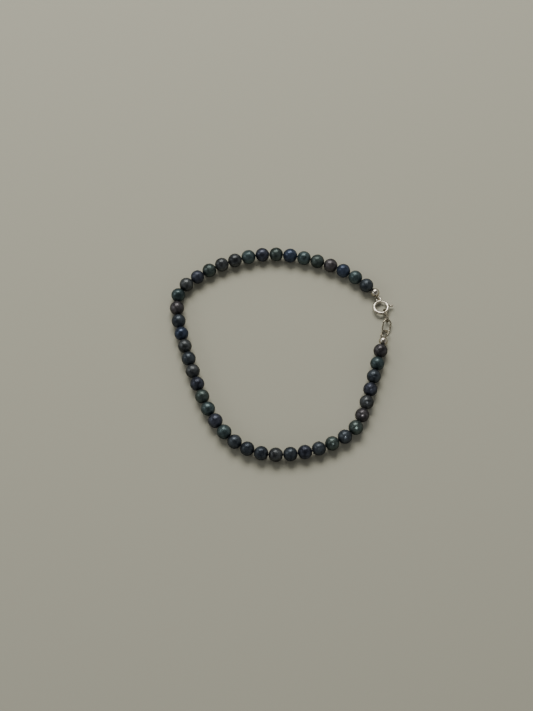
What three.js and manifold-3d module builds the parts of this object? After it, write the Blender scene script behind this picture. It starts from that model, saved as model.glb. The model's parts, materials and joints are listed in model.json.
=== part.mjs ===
// A pearl bracelet, fastened and lying flat on a table.
// Small dark pearls are strung close together on one knotted thread. Each end of the thread is caught in a
// hollow silver bead tip. One tip hooks into the eye of a spring ring, the other holds a short tag of three
// links, and the spring ring is closed round the first of those links.
// Millimetres, +Z up. The origin lies on the table, under the middle of the bracelet's box.

import * as THREE from "three";
import { mergeVertices } from "three/addons/utils/BufferGeometryUtils.js";
import Module from "manifold-3d";

const wasm = await Module();
wasm.setup();

// Pearls, in the order they are strung, from the spring ring's eye round to the tag.
// s slate, t teal, n navy, p plum, g green grey, v violet, c charcoal
const PEARL_TONES = "s t n p g t n g v t c c g v c t p s n c s c v g t v t s s s c s v s g s g p c v s t p";
// - a little smaller than the others, + a little larger, 0 like most
const PEARL_SIZES = "0 0 0 0 0 0 + 0 0 + 0 0 0 - 0 0 + 0 0 - 0 0 0 0 0 + + 0 0 0 0 0 0 - 0 0 + 0 0 0 0 0 0";
const PEARL_DIAMETER = 4.06;
const PEARL_SIZE_STEP = 0.1;
const PEARL_GAP = 0.02;
const BORE_DIAMETER = 0.8;
const PEARL_SIDES = 12;
const PEARL_ROWS = 6;

// The thread, with a knot at each end. It begins to bend a little way inside each pearl.
const THREAD_DIAMETER = 0.32;
const THREAD_BEND = 0.1;
const KNOT_DIAMETER = 1.1;
const THREAD_SIDES = 6;

// Bead tips: a hollow ball that closes over the knot, with a wire loop
const TIP_BALL_DIAMETER = 2.5;
const TIP_WALL = 0.24;
const TIP_HOLE_DIAMETER = 0.6;
const TIP_SEAM = 0.12;
const TIP_LOOP_RADIUS = 0.6;
const TIP_LOOP_WIRE = 0.32;
const TIP_LOOP_ROLL = 84;

// Spring ring: a hollow tube bent round, whose bolt closes the opening beside the eye
const CLASP_DIAMETER = 4.9;
const CLASP_TUBE = 0.94;
const CLASP_BORE = 0.62;
const EYE_RADIUS = 0.62;
const EYE_WIRE = 0.34;
const EYE_SINK = 0.35;
const EYE_SLACK = 0.28;
const TIP_SLACK = 0.15;
const BOLT_DIAMETER = 0.44;
const STEM_DIAMETER = 0.3;
const KNOB_DIAMETER = 0.62;
const KNOB_LENGTH = 1.0;
const KNOB_CLEARANCE = 0.12;
const SLOT_WIDTH = 0.44;
const CLASP_ROLL = 2;
const CLASP_SLIP = 22;
// Degrees round the ring, clockwise from the eye
const OPENING_FROM = 12;
const OPENING_TO = 57;
const KNOB_AT = 92;
const BOLT_SEAT = 6;
const BOLT_TAIL = 20;
const BOLT_TRAVEL = 46;
const SLOT_END_PLAY = 8;

// Tag: two oval chain links and a round jump ring
const LINK_LENGTH = 4.2;
const LINK_WIDTH = 2.6;
const LINK_WIRE = 0.42;
const UPRIGHT_LINK_ROLL = 98;
const FLAT_LINK_ROLL = 14;
const JUMP_RING_DIAMETER = 2.7;
const JUMP_RING_WIRE = 0.4;
const JUMP_RING_ROLL = -34;
const JUMP_RING_SLIP = -20;

// Play between wires that hang in each other
const WIRE_PLAY = 0.1;
const WIRE_SIDES = 6;
const RING_STEPS = 16;

// The line that the bracelet was laid in, seen from above: x to the right, y away. It starts where the eye
// holds the first bead tip, goes round the pearls, and comes back through the second bead tip and the tag.
// Its shape is kept, and its size follows from what is strung on it.
const ROUTE = [
  { x: 28.14, y: 16.98 }, { x: 27.1, y: 18.5 }, { x: 25.0, y: 20.3 }, { x: 18.9, y: 24.8 },
  { x: 7.5, y: 29.1 }, { x: -4.0, y: 30.4 }, { x: -16.4, y: 27.3 }, { x: -23.3, y: 23.5 },
  { x: -26.6, y: 21.1 }, { x: -29.1, y: 17.8 }, { x: -29.5, y: 13.6 }, { x: -28.1, y: 5.6 },
  { x: -21.8, y: -13.7 }, { x: -18.0, y: -20.9 }, { x: -12.4, y: -27.1 }, { x: -5.0, y: -30.3 },
  { x: 3.1, y: -30.4 }, { x: 10.9, y: -28.7 }, { x: 17.8, y: -25.3 }, { x: 20.7, y: -22.7 },
  { x: 22.6, y: -18.9 }, { x: 27.1, y: -3.9 }, { x: 28.1, y: -0.1 }, { x: 29.1, y: 3.4 },
  { x: 29.2, y: 6.2 }, { x: 30.7, y: 7.1 }, { x: 30.5, y: 10.0 }, { x: 29.7, y: 12.7 },
];

const SILVER = new THREE.MeshStandardMaterial({ color: 0xc6c3ba, roughness: 0.25, metalness: 1 });
const THREAD_GREY = new THREE.MeshStandardMaterial({ color: 0x2b2b2d, roughness: 0.9, metalness: 0 });
const TONE_COLOURS = {
  s: 0x3b4048,
  t: 0x2f4547,
  n: 0x27344d,
  p: 0x433b43,
  g: 0x3f4641,
  v: 0x35344a,
  c: 0x35373a,
};
const PEARL_MATERIALS = Object.fromEntries(
  Object.entries(TONE_COLOURS).map(([tone, color]) => [
    tone,
    new THREE.MeshStandardMaterial({ color, roughness: 0.35, metalness: 0.3 }),
  ]),
);

const radians = THREE.MathUtils.degToRad;
const UP = new THREE.Vector3(0, 0, 1);

// A closed geometry as a manifold solid, and back

function solidOf(geometry) {
  const bare = geometry.clone();
  bare.deleteAttribute("normal");
  bare.deleteAttribute("uv");
  const merged = mergeVertices(bare, 1e-4);
  return new wasm.Manifold(
    new wasm.Mesh({
      numProp: 3,
      vertProperties: merged.attributes.position.array,
      triVerts: new Uint32Array(merged.index.array),
    }),
  );
}

function geometryOf(solid) {
  const mesh = solid.getMesh();
  const geometry = new THREE.BufferGeometry();
  geometry.setAttribute("position", new THREE.BufferAttribute(mesh.vertProperties, 3));
  geometry.setIndex(new THREE.BufferAttribute(mesh.triVerts, 1));
  return geometry;
}

// Curves that wires and tubes follow

class Arc extends THREE.Curve {
  constructor(radius, from, to) {
    super();
    Object.assign(this, { radius, from, to });
  }

  getPoint(t, target = new THREE.Vector3()) {
    const angle = THREE.MathUtils.lerp(this.from, this.to, t);
    return target.set(this.radius * Math.cos(angle), this.radius * Math.sin(angle), 0);
  }
}

// Straight from point to point, with one step for each stretch
class Strand extends THREE.Curve {
  constructor(points) {
    super();
    this.points = points;
  }

  getPoint(t, target = new THREE.Vector3()) {
    const place = t * (this.points.length - 1);
    const first = Math.min(Math.floor(place), this.points.length - 2);
    return target.lerpVectors(this.points[first], this.points[first + 1], place - first);
  }

  getPointAt(u, target) {
    return this.getPoint(u, target);
  }

  getTangentAt(u, target) {
    return this.getTangent(u, target);
  }
}

function roundSection(diameter, sides) {
  const points = Array.from({ length: sides }, (_, i) => {
    const angle = (2 * Math.PI * i) / sides;
    return new THREE.Vector2(Math.cos(angle), Math.sin(angle)).multiplyScalar(diameter / 2);
  });
  return new THREE.Shape(points);
}

function tubeAlong(curve, diameter, sides, steps) {
  return new THREE.ExtrudeGeometry(roundSection(diameter, sides), { steps, extrudePath: curve });
}

// A round wire ring in the XY plane; radius is to the middle of the wire
function wireRing(radius, wire, steps = RING_STEPS) {
  return new THREE.TorusGeometry(radius, wire / 2, WIRE_SIDES, steps);
}

// An oval wire link in the XY plane, its length along X
function wireLink(length, width, wire) {
  const link = wireRing((width - wire) / 2, wire, RING_STEPS + 4);
  const stretch = (length - width) / 2;
  const place = link.attributes.position;
  for (let i = 0; i < place.count; i++) {
    const x = place.getX(i);
    if (Math.abs(x) > 1e-6) place.setX(i, x + Math.sign(x) * stretch);
  }
  return link;
}

// A solid of revolution about X, from a profile of [along, radius] points
function turned(profile, sides) {
  const points = profile.map(([along, radius]) => new THREE.Vector2(radius, along));
  return new THREE.LatheGeometry(points, sides).rotateZ(-Math.PI / 2);
}

// Half circle of a ball from end to end, as [along, radius] points, open by a hole at each end
function ballProfile(diameter, hole, rows) {
  const start = Math.asin(hole / diameter);
  return Array.from({ length: rows + 1 }, (_, i) => {
    const angle = THREE.MathUtils.lerp(start, Math.PI - start, i / rows);
    return [(-Math.cos(angle) * diameter) / 2, (Math.sin(angle) * diameter) / 2];
  });
}

// The pieces, each with its own length along X

function pearl(diameter) {
  const outside = ballProfile(diameter, BORE_DIAMETER, PEARL_ROWS);
  return turned([...outside, outside[0]], PEARL_SIDES);
}

// The ball's middle is at the origin, its thread hole faces -X and its loop is at +X.
function beadTip() {
  const radius = TIP_BALL_DIAMETER / 2;
  const inside = radius - TIP_WALL;
  const ball = solidOf(new THREE.SphereGeometry(radius, 14, 10).rotateX(Math.PI / 2));
  const hollow = solidOf(new THREE.SphereGeometry(inside, 10, 6).rotateX(Math.PI / 2));
  const hole = solidOf(
    turned([[-2 * radius, 0], [-2 * radius, TIP_HOLE_DIAMETER / 2], [0, TIP_HOLE_DIAMETER / 2], [0, 0]], 8),
  );
  const seam = solidOf(
    new THREE.BoxGeometry(radius, TIP_SEAM, 2 * radius).translate(0, 0, radius + TIP_SEAM),
  );
  const loop = solidOf(wireRing(TIP_LOOP_RADIUS, TIP_LOOP_WIRE).translate(radius + TIP_LOOP_RADIUS, 0, 0));
  return geometryOf(ball.add(loop).subtract(hollow).subtract(hole).subtract(seam));
}

// Spring ring in the XY plane, its middle at the origin and its eye at +X
const claspRadius = (CLASP_DIAMETER - CLASP_TUBE) / 2;
const eyeCentre = CLASP_DIAMETER / 2 + EYE_RADIUS - EYE_SINK;
const CLASP_STEP = 12;

function claspTube(diameter, from, to, sides) {
  const steps = Math.ceil((to - from) / CLASP_STEP);
  return solidOf(tubeAlong(new Arc(claspRadius, -radians(from), -radians(to)), diameter, sides, steps));
}

function springRing() {
  const turnBack = 360 + OPENING_FROM;
  const tube = claspTube(CLASP_TUBE, OPENING_TO, turnBack, 12);
  const eye = solidOf(wireRing(EYE_RADIUS, EYE_WIRE).translate(eyeCentre, 0, 0));
  const bore = claspTube(CLASP_BORE, OPENING_TO - CLASP_STEP, turnBack + CLASP_STEP, 8);
  const slotTo = KNOB_AT + BOLT_TRAVEL + SLOT_END_PLAY;
  const sector = new THREE.Shape();
  sector.absarc(0, 0, CLASP_DIAMETER, -radians(OPENING_TO - CLASP_STEP / 2), -radians(slotTo), true);
  sector.lineTo(claspRadius * Math.cos(radians(slotTo)), -claspRadius * Math.sin(radians(slotTo)));
  sector.absarc(0, 0, claspRadius, -radians(slotTo), -radians(OPENING_TO - CLASP_STEP / 2), false);
  const slot = new THREE.ExtrudeGeometry(sector, { depth: SLOT_WIDTH, bevelEnabled: false, curveSegments: 7 });
  slot.translate(0, 0, -SLOT_WIDTH / 2);
  return geometryOf(tube.add(eye).subtract(bore).subtract(solidOf(slot)));
}

function springBolt() {
  const bolt = claspTube(BOLT_DIAMETER, OPENING_FROM - BOLT_SEAT, KNOB_AT + BOLT_TAIL, 8);
  const stem = STEM_DIAMETER / 2;
  const knob = KNOB_DIAMETER / 2;
  const knobFrom = CLASP_DIAMETER / 2 + KNOB_CLEARANCE;
  const knobTo = knobFrom + KNOB_LENGTH;
  const profile = [
    [claspRadius, 0],
    [claspRadius, stem],
    [knobFrom, stem],
    [knobFrom + stem / 2, knob],
    [knobTo - stem, knob],
    [knobTo, stem],
    [knobTo, 0],
  ];
  const thumb = turned(profile, 10).rotateZ(-radians(KNOB_AT));
  return geometryOf(bolt.add(solidOf(thumb)));
}

// How far a wire's middle lies past the point where two wires hang in each other
function hang(wire, otherWire) {
  return (wire + otherWire + 2 * WIRE_PLAY) / 4;
}

// Where its neighbours hold each piece, in its own plane: the neighbour nearer the last pearl comes first.
const linkHalf = (LINK_LENGTH - LINK_WIRE) / 2;
const jumpHalf = (JUMP_RING_DIAMETER - JUMP_RING_WIRE) / 2;
const onX = (x) => new THREE.Vector2(x, 0);
const around = (radius, degrees) => onX(radius).rotateAround(onX(0), radians(degrees));
const tipHold = (otherWire, slack) => [
  onX(0),
  onX(TIP_BALL_DIAMETER / 2 + 2 * TIP_LOOP_RADIUS - hang(TIP_LOOP_WIRE, otherWire) - slack),
];
const linkHold = (wire, otherWire) => [
  onX(hang(LINK_WIRE, wire) - linkHalf),
  onX(linkHalf - hang(LINK_WIRE, otherWire)),
];
const endTipHold = tipHold(JUMP_RING_WIRE, TIP_SLACK);
const jumpHold = [
  around(jumpHalf - hang(JUMP_RING_WIRE, TIP_LOOP_WIRE), 180 + JUMP_RING_SLIP),
  onX(jumpHalf - hang(JUMP_RING_WIRE, LINK_WIRE)),
];
const flatHold = linkHold(JUMP_RING_WIRE, LINK_WIRE);
const uprightHold = linkHold(LINK_WIRE, CLASP_TUBE);
const claspHold = [
  around(claspRadius - hang(CLASP_TUBE, LINK_WIRE), 180 + CLASP_SLIP),
  onX(eyeCentre + EYE_RADIUS - hang(EYE_WIRE, TIP_LOOP_WIRE)),
];
const startTipHold = tipHold(EYE_WIRE, EYE_SLACK);
const reach = ([first, second]) => first.distanceTo(second);

// How high each point lies. Half the height of a leaning ring is what it needs to clear the table.
function halfHeight(radius, wire, roll) {
  return radius * Math.abs(Math.sin(radians(roll))) + wire / 2;
}

const sizeSteps = { "-": -1, 0: 0, "+": 1 };
const pearlTones = PEARL_TONES.split(" ");
const pearlDiameters = PEARL_SIZES.split(" ").map((mark) => PEARL_DIAMETER + sizeSteps[mark] * PEARL_SIZE_STEP);
const stringHeight = Math.max(...pearlDiameters) / 2;
const ballHeight = (stringHeight + TIP_BALL_DIAMETER / 2) / 2;
const loopHeight = TIP_LOOP_RADIUS + TIP_LOOP_WIRE / 2;
const uprightHeight = halfHeight((LINK_WIDTH - LINK_WIRE) / 2, LINK_WIRE, UPRIGHT_LINK_ROLL);
const jumpHeight = halfHeight(jumpHalf, JUMP_RING_WIRE, JUMP_RING_ROLL);

// Every point on the string and the clasp, with its height and its distance to the next
const ballToPearl = (diameter) => (TIP_BALL_DIAMETER + diameter) / 2 + PEARL_GAP;
const stations = [
  { height: loopHeight, next: reach(startTipHold) },
  { height: ballHeight, next: ballToPearl(pearlDiameters[0]) },
  ...pearlDiameters.map((diameter, i) => ({
    height: stringHeight,
    next:
      i + 1 < pearlDiameters.length
        ? (diameter + pearlDiameters[i + 1]) / 2 + PEARL_GAP
        : ballToPearl(diameter),
  })),
  { height: ballHeight, next: reach(endTipHold) },
  { height: loopHeight, next: reach(jumpHold) },
  { height: jumpHeight, next: reach(flatHold) },
  { height: uprightHeight, next: reach(uprightHold) },
  { height: uprightHeight, next: reach(claspHold) },
];

// Walks the stations along the route, each at its distance from the one before. Returns the points, and
// how far the last one overshoots the start, as a share of the route.
function strungOn(route) {
  const points = [];
  let share = 0;
  stations.forEach(({ height, next }, i) => {
    const here = route.getPointAt(share % 1);
    points.push(here.clone().setZ(height));
    const rise = stations[(i + 1) % stations.length].height - height;
    const run = Math.sqrt(next * next - rise * rise);
    let low = share;
    let high = share + 0.1;
    for (let turn = 0; turn < 40; turn++) {
      const middle = (low + high) / 2;
      if (route.getPointAt(middle % 1).distanceTo(here) < run) low = middle;
      else high = middle;
    }
    share = low;
  });
  return { points, overshoot: share - 1 };
}

function routeOf(scale) {
  const points = ROUTE.map(({ x, y }) => new THREE.Vector3(x, y, 0).multiplyScalar(scale));
  const route = new THREE.CatmullRomCurve3(points, true, "centripetal");
  route.arcLengthDivisions = 3000;
  return route;
}

// The loop's size at which what is strung on it just closes
function closedLoop() {
  let low = 0.25;
  let high = 4;
  for (let turn = 0; turn < 40; turn++) {
    const middle = (low + high) / 2;
    if (strungOn(routeOf(middle)).overshoot > 0) low = middle;
    else high = middle;
  }
  return strungOn(routeOf(low)).points;
}

const places = closedLoop();
const [eyeJoint, startBall] = places;
const pearlPlaces = places.slice(2, 2 + pearlDiameters.length);
const [endBall, tipJoint, jumpJoint, linkJoint, claspJoint] = places.slice(2 + pearlDiameters.length);

// Turns a mesh or group so that its X axis points along a direction, rolls it about that axis, and moves it.
function lay(object, at, along, roll = 0) {
  const x = along.clone().normalize();
  const y = new THREE.Vector3().crossVectors(UP, x).normalize();
  const z = new THREE.Vector3().crossVectors(x, y);
  object.quaternion.setFromRotationMatrix(new THREE.Matrix4().makeBasis(x, y, z));
  object.rotateX(radians(roll));
  object.position.copy(at);
  return object;
}

function named(name, geometry, material) {
  const mesh = new THREE.Mesh(geometry, material);
  mesh.name = name;
  return mesh;
}

// A piece laid so that its two held points come on the line from one joint to the next
function layBetween(piece, [first, second], from, to, roll) {
  const turn = second.clone().sub(first).angle();
  const start = first.clone().rotateAround(onX(0), -turn);
  piece.rotation.z = -turn;
  piece.position.set(-start.x, -start.y, 0);
  return lay(new THREE.Group().add(piece), from, to.clone().sub(from), roll);
}

const bracelet = new THREE.Group();

// Each pearl's bore points from its neighbour on one side to its neighbour on the other.
const neighbours = [startBall, ...pearlPlaces, endBall];
const boreAxes = pearlPlaces.map((_, i) =>
  neighbours[i + 2].clone().setZ(0).sub(neighbours[i].clone().setZ(0)).normalize(),
);
pearlPlaces.forEach((place, i) => {
  const name = "pearl_" + String(i + 1).padStart(2, "0");
  const piece = named(name, pearl(pearlDiameters[i]), PEARL_MATERIALS[pearlTones[i]]);
  bracelet.add(lay(piece, place, boreAxes[i]));
});

const startAlong = eyeJoint.clone().sub(startBall);
const endAlong = tipJoint.clone().sub(endBall);
bracelet.add(lay(named("bead_tip_start", beadTip(), SILVER), startBall, startAlong, TIP_LOOP_ROLL));
bracelet.add(lay(named("bead_tip_end", beadTip(), SILVER), endBall, endAlong, TIP_LOOP_ROLL));

// The thread is straight inside each ball and along most of each bore, and bends between them.
function thread() {
  const tipHole = (ball, along) => along.clone().setLength(-TIP_BALL_DIAMETER / 2).add(ball);
  const bends = pearlPlaces.flatMap((place, i) => {
    const toEnd = boreAxes[i].clone().setLength(pearlDiameters[i] / 2 - THREAD_BEND);
    return [place.clone().sub(toEnd), place.clone().add(toEnd)];
  });
  const points = [startBall, tipHole(startBall, startAlong), ...bends, tipHole(endBall, endAlong), endBall];
  const strand = tubeAlong(new Strand(points), THREAD_DIAMETER, THREAD_SIDES, points.length - 1);
  const knots = [startBall, endBall].map((ball) =>
    solidOf(new THREE.SphereGeometry(KNOT_DIAMETER / 2, 8, 6).translate(ball.x, ball.y, ball.z)),
  );
  return geometryOf(knots.reduce((joined, knot) => joined.add(knot), solidOf(strand)));
}

bracelet.add(named("thread", thread(), THREAD_GREY));

const jumpRing = named("jump_ring", wireRing(jumpHalf, JUMP_RING_WIRE), SILVER);
const flatLink = named("tag_link_flat", wireLink(LINK_LENGTH, LINK_WIDTH, LINK_WIRE), SILVER);
const uprightLink = named("tag_link_upright", wireLink(LINK_LENGTH, LINK_WIDTH, LINK_WIRE), SILVER);
bracelet.add(layBetween(jumpRing, jumpHold, tipJoint, jumpJoint, JUMP_RING_ROLL));
bracelet.add(layBetween(flatLink, flatHold, jumpJoint, linkJoint, FLAT_LINK_ROLL));
bracelet.add(layBetween(uprightLink, uprightHold, linkJoint, claspJoint, UPRIGHT_LINK_ROLL));

// The bolt turns with its thumb knob about the spring ring's own middle, which is this group's origin.
const clasp = new THREE.Group();
clasp.add(named("spring_ring", springRing(), SILVER));
clasp.add(named("spring_bolt", springBolt(), SILVER));
bracelet.add(layBetween(clasp, claspHold, claspJoint, eyeJoint, CLASP_ROLL));

// Moves the bracelet so that the origin lies on the table, under the middle of its box.
bracelet.updateMatrixWorld(true);
const box = new THREE.Box3().setFromObject(bracelet, true);
const middle = box.getCenter(new THREE.Vector3());
bracelet.position.set(-middle.x, -middle.y, -box.min.z);

export default bracelet;
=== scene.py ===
import json
import math
import random

import bmesh
import bpy
import numpy as np
from mathutils import Matrix, Vector, noise


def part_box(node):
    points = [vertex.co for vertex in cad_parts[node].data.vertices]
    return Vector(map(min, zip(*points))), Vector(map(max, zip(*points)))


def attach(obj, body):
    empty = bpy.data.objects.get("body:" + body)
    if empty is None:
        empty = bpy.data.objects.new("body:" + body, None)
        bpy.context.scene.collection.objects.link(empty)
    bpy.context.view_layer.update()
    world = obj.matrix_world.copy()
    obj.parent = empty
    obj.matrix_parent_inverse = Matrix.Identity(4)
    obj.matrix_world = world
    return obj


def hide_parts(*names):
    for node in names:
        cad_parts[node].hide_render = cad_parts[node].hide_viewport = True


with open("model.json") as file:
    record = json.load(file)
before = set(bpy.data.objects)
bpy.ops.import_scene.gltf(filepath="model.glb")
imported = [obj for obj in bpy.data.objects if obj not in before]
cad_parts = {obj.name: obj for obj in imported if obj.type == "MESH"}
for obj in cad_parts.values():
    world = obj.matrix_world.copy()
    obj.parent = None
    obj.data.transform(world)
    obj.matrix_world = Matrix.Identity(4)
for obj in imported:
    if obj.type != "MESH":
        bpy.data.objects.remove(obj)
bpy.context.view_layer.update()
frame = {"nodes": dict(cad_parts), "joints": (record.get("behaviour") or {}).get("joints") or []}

# Camera. It looks down steeply on the table, as in the photograph, and the point of the table under
# the middle of the picture lies a little to the left of the bracelet's own middle.
CAMERA_DISTANCE = 0.405
scene = bpy.context.scene
aim = Vector((-0.0044, -0.00035, 0.0))
elevation = math.radians(67.6)
away = Vector((0.0, -math.cos(elevation), math.sin(elevation)))
camera = bpy.data.objects.new("camera", bpy.data.cameras.new("camera"))
camera.data.sensor_width = 36.0
camera.data.lens = 71.4
camera.data.clip_start = 0.01
camera.location = aim + away * CAMERA_DISTANCE
camera.rotation_euler = away.to_track_quat("Z", "Y").to_euler()
scene.collection.objects.link(camera)
scene.camera = camera


# Table. A plain pale top with nothing on it but the bracelet. Its material is the first of the
# shader graphs, which are written as sums: a Sock is a socket whose operators add Math nodes, and
# a Graph adds any other node from its type, its settings and what goes into its sockets.
class Sock:
    def __init__(self, graph, socket):
        self.graph, self.socket = graph, socket

    def math(self, operation, *values):
        return self.graph.add("ShaderNodeMath", {"operation": operation}, dict(enumerate(values)))["Value"]

    def __add__(self, other):
        return self.math("ADD", self, other)

    def __mul__(self, other):
        return self.math("MULTIPLY", self, other)

    def __sub__(self, other):
        return self.math("SUBTRACT", self, other)

    def __rsub__(self, other):
        return self.math("SUBTRACT", other, self)

    __radd__, __rmul__ = __add__, __mul__

    def sine(self):
        return self.math("SINE", self)

    def above(self, low, high):
        settings = {"interpolation_type": "SMOOTHSTEP"}
        inputs = {"Value": self, "From Min": low, "From Max": high}
        return self.graph.add("ShaderNodeMapRange", settings, inputs)["Result"]


class Graph:
    def __init__(self, owner, shader="Principled BSDF"):
        owner.use_nodes = True
        self.owner, self.tree = owner, owner.node_tree
        self.shader = self.tree.nodes[shader]

    def feed(self, node, inputs):
        for key, value in inputs.items():
            if isinstance(value, Sock):
                self.tree.links.new(value.socket, node.inputs[key])
            else:
                node.inputs[key].default_value = value

    def add(self, kind, settings=None, inputs=None):
        node = self.tree.nodes.new(kind)
        for key, value in (settings or {}).items():
            setattr(node, key, value)
        self.feed(node, inputs or {})
        return {out.name: Sock(self, out) for out in reversed(node.outputs) if out.enabled}

    def blend(self, mask, first, second):
        node = self.tree.nodes.new("ShaderNodeMix")
        node.data_type = "RGBA"
        self.feed(node, {0: mask, 6: first, 7: second})
        return Sock(self, node.outputs[2])

    def here(self):
        return self.add("ShaderNodeTexCoord")["Object"]

    def own(self, name):
        return self.add("ShaderNodeAttribute", {"attribute_name": name})["Fac"]

    def noise(self, where, scale, detail, roughness=0.5):
        inputs = {"Vector": where, "Scale": scale, "Detail": detail, "Roughness": roughness}
        return self.add("ShaderNodeTexNoise", None, inputs)["Fac"]

    def bump(self, height, distance, strength):
        inputs = {"Height": height, "Distance": distance, "Strength": strength}
        return self.add("ShaderNodeBump", None, inputs)["Normal"]

    def finish(self, **inputs):
        self.feed(self.shader, {key.replace("_", " "): value for key, value in inputs.items()})
        return self.owner


def linear(colour):
    channels = [((colour >> shift) & 255) / 255 for shift in (16, 8, 0)]
    return [c / 12.92 if c <= 0.04045 else ((c + 0.055) / 1.055) ** 2.4 for c in channels] + [1.0]


bm = bmesh.new()
bmesh.ops.create_grid(bm, x_segments=1, y_segments=1, size=2.5)
table = bpy.data.objects.new("table", bpy.data.meshes.new("table"))
bm.to_mesh(table.data)
bm.free()
scene.collection.objects.link(table)
table_top = Graph(bpy.data.materials.new("table"))
table.data.materials.append(table_top.finish(Base_Color=linear(0xAAA896), Roughness=0.9))


# Light. A window close beyond the table, dim light from the left, a narrow beam from behind the
# viewer on the right that gives the nearest pearls a sharp spot, and a room that is dark overhead and
# where the viewer stands.
def lamp(name, at, size, power, tint):
    light = bpy.data.objects.new(name, bpy.data.lights.new(name, "AREA"))
    light.data.shape = "RECTANGLE"
    light.data.size, light.data.size_y = size
    light.data.energy = power
    light.data.color = tint
    light.location = at
    light.rotation_euler = Vector(at).to_track_quat("Z", "Y").to_euler()
    scene.collection.objects.link(light)


lamp("window", (-0.06, 0.46, 0.56), (0.55, 0.34), 5.4, (1.0, 0.985, 0.96))
lamp("left_light", (-0.70, 0.05, 0.45), (0.25, 0.25), 0.7, (0.93, 0.96, 1.0))
beam = bpy.data.objects.new("beam", bpy.data.lights.new("beam", "SPOT"))
beam.data.energy = 30.0
beam.data.spot_size = math.radians(1.4)
beam.data.spot_blend = 0.7
beam.data.shadow_soft_size = 0.008
beam.visible_diffuse = False
beam.location = (0.10, -0.36, 0.72)
beam.rotation_euler = (beam.location - Vector((0.0214, -0.0210, 0.002))).to_track_quat("Z", "Y").to_euler()
scene.collection.objects.link(beam)
room = Graph(bpy.data.worlds.new("room"), "Background")
direction = room.add("ShaderNodeTexCoord")["Generated"]
way = room.add("ShaderNodeSeparateXYZ", None, {"Vector": direction})
walls = room.blend(way["Y"].above(-0.6, 0.9), (0.58, 0.58, 0.58, 1.0), (0.64, 0.65, 0.66, 1.0))
dim = room.blend(way["Z"].above(0.35, 0.9), walls, (0.12, 0.12, 0.12, 1.0))
toward_viewer = {0: direction, 1: (0.0, -0.82, 0.57)}
viewer = room.add("ShaderNodeVectorMath", {"operation": "DOT_PRODUCT"}, toward_viewer)["Value"]
scene.world = room.finish(
    Color=room.blend(viewer.above(0.95, 0.99), dim, (0.0, 0.0, 0.0, 1.0)), Strength=0.8
)
scene.view_settings.view_transform = "AgX"

# Pearls. Dyed freshwater pearls, near round, each a little out of true and drilled through, with the
# rims of the hole worn smooth. Each has its own dark colour, cloudy under a satin skin, with faint
# growth rings round the drilled axis on some of them.
PEARL_TONES = {
    "slate": (0x454B4F, 0x272C32),
    "teal": (0x4E5B5B, 0x2C3737),
    "navy": (0x414B5B, 0x222936),
    "plum": (0x565354, 0x323031),
    "green": (0x4D5753, 0x2B3330),
    "violet": (0x464A54, 0x26282F),
    "coal": (0x505353, 0x2D2F30),
}
PEARL_CHART = (
    "slate teal navy plum green teal navy green violet teal coal coal green violet coal teal plum "
    "slate navy coal slate coal violet green teal violet teal slate slate slate coal slate violet "
    "slate green slate green plum coal violet slate teal plum"
).split()
HOLE_RADIUS = 0.0004
RIM = 0.00004
DENT_DEPTH = 0.012
ROUND_STEPS, SPIN_STEPS = 30, 44


def middle_of(node):
    low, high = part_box(node)
    return (low + high) / 2


def pearl_material(tone):
    graph = Graph(bpy.data.materials.new("pearl_" + tone))
    body, shade = (linear(colour) for colour in PEARL_TONES[tone])
    here = graph.here()
    clouds = graph.noise(here, 900.0, 4.0, 0.65)
    patches = graph.noise(here, 330.0, 2.0)
    ripple = (graph.own("rings") * 40.0).sine() * patches.above(0.5, 0.7)
    mask = (clouds * 1.4 + patches * 0.5 + graph.own("light") * 0.12).above(0.74, 1.24)
    return graph.finish(
        Base_Color=graph.blend(mask, shade, body),
        Roughness=0.28 + 0.16 * patches,
        Metallic=0.6,
        Specular_Tint=(0.04, 0.045, 0.055, 1.0),
        Coat_Weight=0.12,
        Coat_Roughness=0.12,
        Normal=graph.bump(clouds + ripple * 0.35, 0.00006, 0.6),
    )


def joined(bm):
    bmesh.ops.remove_doubles(bm, verts=bm.verts, dist=1e-7)
    bmesh.ops.recalc_face_normals(bm, faces=bm.faces)
    for face in bm.faces:
        face.smooth = True
    return bm


def piece_of(bm, name, material, node, place, body="bracelet"):
    piece = bpy.data.objects.new(name, bpy.data.meshes.new(name))
    joined(bm).transform(place)
    bm.to_mesh(piece.data)
    bm.free()
    piece.data.materials.append(material)
    scene.collection.objects.link(piece)
    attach(piece, body)
    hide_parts(node)


def frame_at(centre, x, z):
    x = x.normalized()
    y = z.cross(x).normalized()
    return Matrix.Translation(centre) @ Matrix((x, y, x.cross(y))).transposed().to_4x4()


# A chain of edges in the XZ plane, spun round X
def spun(bm, points, steps, turn=math.tau):
    verts = [bm.verts.new((along, 0.0, out)) for along, out in points]
    edges = [bm.edges.new(pair) for pair in zip(verts, verts[1:])]
    bmesh.ops.spin(
        bm, geom=verts + edges, axis=(1, 0, 0), cent=(0, 0, 0), angle=turn, steps=steps, use_merge=turn > 6
    )


def pearl_outline(radius):
    start = math.asin((HOLE_RADIUS + RIM) / radius)
    turns = [start + (math.pi - 2 * start) * i / ROUND_STEPS for i in range(ROUND_STEPS + 1)]
    skin = [(-radius * math.cos(turn), radius * math.sin(turn)) for turn in turns]
    depth = radius * math.cos(start) - RIM
    rim = [
        (depth + RIM * math.cos(turn), HOLE_RADIUS + RIM - RIM * math.sin(turn))
        for turn in (math.radians(step) for step in (30, 60, 90))
    ]
    return skin + rim + [(-along, out) for along, out in reversed(rim)] + skin[:1]


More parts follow.
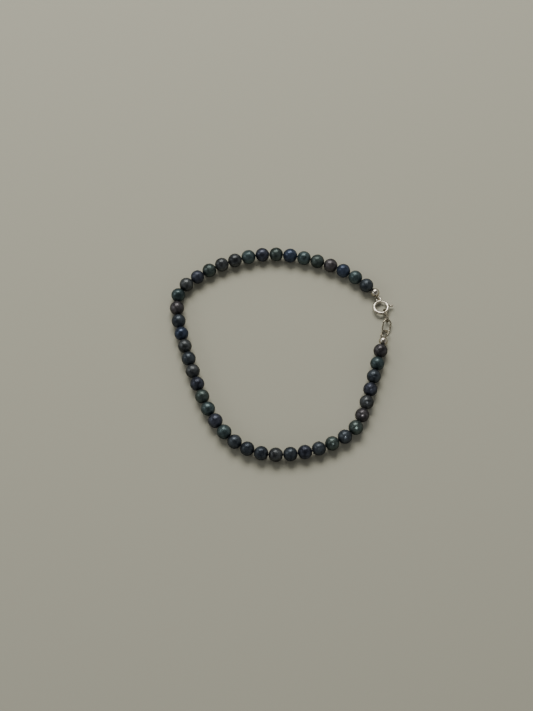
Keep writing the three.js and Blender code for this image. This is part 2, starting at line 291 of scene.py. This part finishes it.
def pearl(index, radius):
    chance = random.Random(index)
    bm = bmesh.new()
    spun(bm, pearl_outline(radius), SPIN_STEPS)
    joined(bm)
    stretch, light = chance.uniform(0.996, 1.0), chance.uniform(0.0, 1.0)
    seed = Vector((chance.uniform(0, 50), chance.uniform(0, 50), 0.0))
    rings, lightness = bm.verts.layers.float.new("rings"), bm.verts.layers.float.new("light")
    for vert in bm.verts:
        vert[rings] = vert.co.x / radius + 0.15 * noise.noise(vert.co / radius + seed)
        vert[lightness] = light
        dent = max(0.0, noise.noise(vert.co / radius * 1.3 + seed))
        vert.co *= 1.0 - DENT_DEPTH * dent * min(1.0, vert.co.length / radius) ** 8
        vert.co.x *= stretch
    bmesh.ops.rotate(bm, verts=bm.verts, matrix=Matrix.Rotation(chance.uniform(0, math.tau), 3, "X"))
    return bm


pearl_materials = {tone: pearl_material(tone) for tone in PEARL_TONES}
pearl_nodes = ["pearl_%02d" % (i + 1) for i in range(len(PEARL_CHART))]
centres = [middle_of(node) for node in pearl_nodes]
for i, (node, tone) in enumerate(zip(pearl_nodes, PEARL_CHART)):
    along = centres[min(i + 1, len(centres) - 1)] - centres[max(i - 1, 0)]
    place = frame_at(centres[i], Vector((along.x, along.y, 0.0)), Vector((0, 0, 1)))
    bm = pearl(i, centres[i].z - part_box(node)[0].z)
    piece_of(bm, "round_" + node, pearl_materials[tone], node, place)

# Tag. Two oval chain links and a round jump ring, by which the far end of the string is fastened.
# Each is round silver wire bent into shape and soldered shut, polished once and now a little worn,
# with old tarnish in the hollows.
LINK_WIDTH, LINK_LENGTH, LINK_WIRE = 0.0026, 0.0042, 0.00042
JUMP_RING_RADIUS, JUMP_RING_WIRE = 0.00115, 0.0004


def silver_material(name, clean, dark):
    graph = Graph(bpy.data.materials.new(name))
    here = graph.here()
    wear = graph.noise(here, 2500.0, 4.0, 0.6)
    tarnish = graph.noise(here, 700.0, 3.0, 0.6).above(0.45, 0.75)
    return graph.finish(
        Base_Color=graph.blend(tarnish * 0.8, linear(clean), linear(dark)),
        Roughness=0.2 + 0.1 * wear + 0.14 * tarnish,
        Metallic=1.0,
        Specular_Tint=(0.3, 0.28, 0.25, 1.0),
        Normal=graph.bump(wear, 0.000006, 0.3),
    )


def bent_wire(bm, wire, radius, start, stop, steps, sides=16, middle=0.0):
    ring = bmesh.ops.create_circle(bm, segments=sides, radius=wire / 2)["verts"]
    turn = Matrix.Translation((middle, 0, 0)) @ Matrix.Rotation(math.radians(start), 4, "Z")
    stand = Matrix.Translation((radius, 0, 0)) @ Matrix.Rotation(math.pi / 2, 4, "X")
    bmesh.ops.transform(bm, verts=ring, matrix=turn @ stand)
    first = list({edge for vert in ring for edge in vert.link_edges})
    last = bmesh.ops.spin(
        bm, geom=ring + first, cent=(middle, 0, 0), axis=(0, 0, 1),
        angle=math.radians(stop - start), steps=steps,
    )["geom_last"]
    return first, [part for part in last if isinstance(part, bmesh.types.BMEdge)]


def solder(bm, at, size):
    place = Matrix.Translation(at) @ Matrix.Diagonal((*size, 1.0))
    bmesh.ops.create_uvsphere(bm, u_segments=20, v_segments=12, radius=1.0, matrix=place)


def principal(points):
    spread, axes = np.linalg.eigh(np.cov((points - points.mean(0)).T))
    return Vector(points.mean(0)), Vector(axes[:, 2]), Vector(axes[:, 0])


def points_of(node):
    return np.array([vert.co for vert in frame["nodes"][node].data.vertices], float)


silver = silver_material("silver", 0xC4BDAD, 0x6A6253)
dull_silver = silver_material("dull_silver", 0x9A927F, 0x4A4336)
for node in ("tag_link_upright", "tag_link_flat"):
    bm = bmesh.new()
    bend, straight = (LINK_WIDTH - LINK_WIRE) / 2, (LINK_LENGTH - LINK_WIDTH) / 2
    far = bent_wire(bm, LINK_WIRE, bend, 90, -90, 22, middle=straight)
    near = bent_wire(bm, LINK_WIRE, bend, -90, -270, 22, middle=-straight)
    bmesh.ops.bridge_loops(bm, edges=far[1] + near[0])
    bmesh.ops.bridge_loops(bm, edges=near[1] + far[0])
    solder(bm, (0.0, bend, 0.0), (0.00022, LINK_WIRE * 0.53, LINK_WIRE * 0.53))
    piece_of(bm, "soldered_" + node, dull_silver, node, frame_at(*principal(points_of(node))))

bm = bmesh.new()
bent_wire(bm, JUMP_RING_WIRE, JUMP_RING_RADIUS, 0, 360, 48)
piece_of(bm, "round_jump_ring", dull_silver, "jump_ring", frame_at(*principal(points_of("jump_ring"))))

# Bead tips. A knot of the thread sits in two thin silver cups that are pressed shut over it, and a
# wire loop soldered to the cups hooks into the next piece.
BALL_RADIUS, CUP_WALL, TIP_HOLE = 0.00125, 0.00018, 0.0003
LOOP_RADIUS, LOOP_WIRE = 0.0006, 0.00032
SEAM, CUP_ROUNDING = 0.00003, 0.00003


def ball_centre(node, pearl_centre):
    points, start = points_of(node), np.array(pearl_centre)
    centre = start + (points.mean(0) - start) * 0.85
    for attempt in range(12):
        off = np.abs(np.linalg.norm(points - centre, axis=1) - BALL_RADIUS)
        skin = points[off < 0.00012 + 0.0004 / (attempt + 1)]
        system = np.c_[2 * skin, np.ones(len(skin))]
        centre = np.linalg.lstsq(system, (skin**2).sum(1), rcond=None)[0][:3]
    return Vector(centre)


def arc(radius, steps):
    start = math.asin(TIP_HOLE / radius)
    turns = [start + (math.pi - start) * i / steps for i in range(steps + 1)]
    return [(-radius * math.cos(turn), radius * math.sin(turn)) for turn in turns]


def soften(bm, edges, width, segments=2):
    bmesh.ops.bevel(
        bm, geom=edges, offset=width, offset_type="OFFSET", segments=segments, profile=0.5,
        affect="EDGES", material=-1,
    )


def half_cup(bm, side):
    known = set(bm.verts)
    skin = arc(BALL_RADIUS, 28)
    spun(bm, skin + arc(BALL_RADIUS - CUP_WALL, 18)[::-1] + skin[:1], 26, math.pi)
    made = [vert for vert in bm.verts if vert not in known]
    bmesh.ops.remove_doubles(bm, verts=made, dist=1e-7)
    rims = [edge for edge in bm.edges if edge.is_boundary]
    bmesh.ops.holes_fill(bm, edges=rims, sides=0)
    soften(bm, rims, CUP_ROUNDING)
    made = [vert for vert in bm.verts if vert not in known]
    bmesh.ops.translate(bm, verts=made, vec=(0, -SEAM, 0))
    bmesh.ops.rotate(bm, verts=made, cent=(0, 0, 0), matrix=Matrix.Rotation(side, 3, "X"))


for node, neighbour in (("bead_tip_start", "pearl_01"), ("bead_tip_end", "pearl_43")):
    points = points_of(node)
    centre = ball_centre(node, middle_of(neighbour))
    reach = np.linalg.norm(points - np.array(centre), axis=1)
    loop_end = Vector(points[reach > reach.max() - 0.00004].mean(0))
    loop_normal = principal(points[reach > BALL_RADIUS + 0.00025])[2]
    bm = bmesh.new()
    half_cup(bm, 0.0)
    half_cup(bm, math.pi)
    bent_wire(bm, LOOP_WIRE, LOOP_RADIUS, 0, 360, 40, middle=BALL_RADIUS + LOOP_RADIUS)
    solder(bm, (BALL_RADIUS, 0.0, 0.0), (0.00022, 0.0004, 0.00028))
    piece_of(bm, "cups_" + node, silver, node, frame_at(centre, loop_end - centre, loop_normal))

# Spring ring. A silver tube bent round, with an opening beside its soldered eye and a slot on the
# outside for the knob's stem. Angles run clockwise from the eye, seen from above.
RING_RADIUS, TUBE, BORE = 0.00198, 0.00094, 0.00062
EYE_RADIUS, EYE_WIRE = 0.00062, 0.00034
OPENING_FROM, OPENING_TO, SLOT_TO = 12, 57, 146
SLOT_ROUNDING = 0.00002
hinge = next(joint for joint in frame["joints"] if joint["name"] == "bolt_opens")
hub, up = Vector(hinge["pos_m"]), -Vector(hinge["axis"]).normalized()


def farthest(node):
    points = points_of(node)
    reach = np.linalg.norm(points - np.array(hub), axis=1)
    return Vector(points[reach > reach.max() - 0.00006].mean(0)) - hub, reach.max()


def slotted_tube(bm, diameter, half_angle):
    known = set(bm.faces)
    bent_wire(bm, diameter, RING_RADIUS, -OPENING_TO, -360 - OPENING_FROM, 105, sides=28)
    gone = []
    for face in set(bm.faces) - known:
        spot = face.calc_center_median()
        turn = math.degrees(math.atan2(-spot.y, spot.x)) % 360
        out = math.hypot(spot.x, spot.y) - RING_RADIUS
        if turn < SLOT_TO and turn > OPENING_TO and math.atan2(abs(spot.z), out) < half_angle:
            gone.append(face)
    bmesh.ops.delete(bm, geom=gone, context="FACES")


eye_way, eye_reach = farthest("spring_ring")
bm = bmesh.new()
slotted_tube(bm, TUBE, math.radians(26))
slotted_tube(bm, BORE, math.radians(38))
rims = [edge for edge in bm.edges if edge.is_boundary]


def end_rims(turn_from, turn_to):
    chosen = []
    for edge in rims:
        turns = [math.degrees(math.atan2(-vert.co.y, vert.co.x)) % 360 for vert in edge.verts]
        if all(turn_from <= turn <= turn_to for turn in turns):
            chosen.append(edge)
    return chosen


for edges in (end_rims(OPENING_FROM - 1, OPENING_FROM + 1), end_rims(OPENING_TO - 1, SLOT_TO + 3)):
    bmesh.ops.bridge_loops(bm, edges=edges)
soften(bm, rims, SLOT_ROUNDING)
eye_middle = eye_reach - EYE_RADIUS - EYE_WIRE / 2
bent_wire(bm, EYE_WIRE, EYE_RADIUS, 125, -125, 32, middle=eye_middle)
solder(bm, (RING_RADIUS + TUBE / 2, 0.0, 0.0), (0.00014, 0.00062, 0.00024))
piece_of(bm, "bent_spring_ring", silver, "spring_ring", frame_at(hub, eye_way, up))

# Spring bolt. A bent silver rod with a rounded tip slides round inside the tube and closes the
# opening. A stem through the slot ends in the knob that a thumbnail draws back.
BOLT, STEM, KNOB = 0.00044, 0.0003, 0.00062
BOLT_AHEAD, BOLT_BEHIND = 86, 20
KNOB_FROM = 0.00257
BOLT_ROUNDING, ROUNDING, SLACK = 0.00012, 0.0001, 0.00003
knob_way, knob_reach = farthest("spring_bolt")
knob_reach -= SLACK
bm = bmesh.new()
front, back = bent_wire(bm, BOLT, RING_RADIUS, BOLT_AHEAD, -BOLT_BEHIND, 44, sides=20)
for edges in (front, back):
    face = bmesh.ops.holes_fill(bm, edges=edges, sides=0)["faces"]
    soften(bm, list(face[0].edges), BOLT_ROUNDING, 4)
corner = [(math.sin(turn) * ROUNDING, math.cos(turn) * ROUNDING) for turn in np.radians((0, 30, 60, 90))]
knob_end = [(knob_reach - ROUNDING + along, KNOB / 2 - ROUNDING + out) for along, out in corner]
knob_start = [(KNOB_FROM + ROUNDING - along, KNOB / 2 - ROUNDING + out) for along, out in corner[::-1]]
stem = [(RING_RADIUS, 0.0), (RING_RADIUS, STEM / 2), (KNOB_FROM, STEM / 2)]
spun(bm, stem + knob_start + knob_end + [(knob_reach, 0.0)], 28)
piece_of(bm, "bent_spring_bolt", silver, "spring_bolt", frame_at(hub, knob_way, up), "bolt")

# Thread. Dark twisted silk, seen only as specks between the pearls and at the bead tips, where it fills
# most of each hole.
FLUFF = 0.00008
graph = Graph(bpy.data.materials.new("thread"))
strands = graph.noise(graph.here(), 6000.0, 2.0)
thread_look = graph.finish(
    Base_Color=graph.blend(strands, linear(0x17171A), linear(0x3A393B)), Roughness=0.9
)
bm = bmesh.new()
bm.from_mesh(frame["nodes"]["thread"].data)
joined(bm)
bm.normal_update()
for vert in bm.verts:
    vert.co += vert.normal * FLUFF
piece_of(bm, "silk_thread", thread_look, "thread", Matrix.Identity(4))
